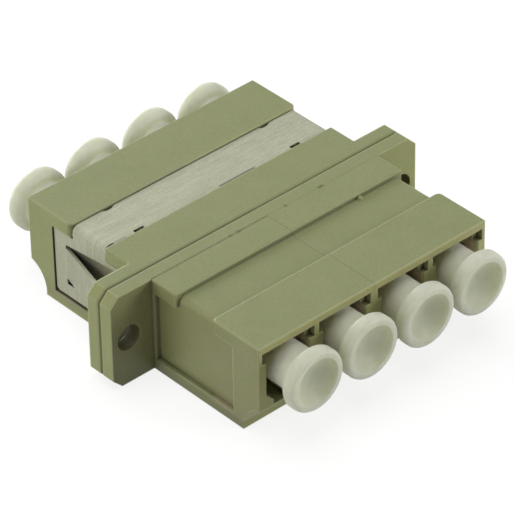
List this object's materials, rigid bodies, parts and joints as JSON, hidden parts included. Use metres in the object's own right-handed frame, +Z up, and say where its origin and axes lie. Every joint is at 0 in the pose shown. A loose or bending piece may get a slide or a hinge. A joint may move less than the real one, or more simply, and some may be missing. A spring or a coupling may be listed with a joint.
{
  "type": "fibre adapter",
  "caption": "Flanged panel adapter that joins small form factor fibre plugs end to end, with a sprung metal retaining clip and pull-off mushroom dust caps.",
  "frame": {"origin": "under the middle of the adapter on its bottom plane, where the two moulded halves meet", "axes": "+X along the row of ports, +Y along the fibres towards the half with the clip, +Z up, away from the latch side"},
  "size_m": [0.0344, 0.0354, 0.0092],
  "materials": {
    "housing_plastic": "satin moulded, beige olive",
    "spring_steel": "brushed along the strip",
    "sleeve_ceramic": "ground",
    "cap_plastic": "satin, milky translucent"
  },
  "bodies": {
    "adapter": {"housing_front": "housing_plastic", "housing_rear": "housing_plastic", "retaining_clip": "spring_steel", "alignment_sleeve_1": "sleeve_ceramic", "alignment_sleeve_2": "sleeve_ceramic", "alignment_sleeve_3": "sleeve_ceramic", "alignment_sleeve_4": "sleeve_ceramic"},
    "cap_front_1": {"dust_cap_front_1": "cap_plastic"},
    "cap_front_2": {"dust_cap_front_2": "cap_plastic"},
    "cap_front_3": {"dust_cap_front_3": "cap_plastic"},
    "cap_front_4": {"dust_cap_front_4": "cap_plastic"},
    "cap_rear_1": {"dust_cap_rear_1": "cap_plastic"},
    "cap_rear_2": {"dust_cap_rear_2": "cap_plastic"},
    "cap_rear_3": {"dust_cap_rear_3": "cap_plastic"},
    "cap_rear_4": {"dust_cap_rear_4": "cap_plastic"}
  },
  "joints": [
    {"name": "pull_cap_front_1", "type": "slide", "parent": "adapter", "child": "cap_front_1", "axis": [0, -1, 0], "range_m": [0, 0.014]},
    {"name": "pull_cap_front_2", "type": "slide", "parent": "adapter", "child": "cap_front_2", "axis": [0, -1, 0], "range_m": [0, 0.014]},
    {"name": "pull_cap_front_3", "type": "slide", "parent": "adapter", "child": "cap_front_3", "axis": [0, -1, 0], "range_m": [0, 0.014]},
    {"name": "pull_cap_front_4", "type": "slide", "parent": "adapter", "child": "cap_front_4", "axis": [0, -1, 0], "range_m": [0, 0.014]},
    {"name": "pull_cap_rear_1", "type": "slide", "parent": "adapter", "child": "cap_rear_1", "axis": [0, 1, 0], "range_m": [0, 0.014]},
    {"name": "pull_cap_rear_2", "type": "slide", "parent": "adapter", "child": "cap_rear_2", "axis": [0, 1, 0], "range_m": [0, 0.014]},
    {"name": "pull_cap_rear_3", "type": "slide", "parent": "adapter", "child": "cap_rear_3", "axis": [0, 1, 0], "range_m": [0, 0.014]},
    {"name": "pull_cap_rear_4", "type": "slide", "parent": "adapter", "child": "cap_rear_4", "axis": [0, 1, 0], "range_m": [0, 0.014]}
  ]
}
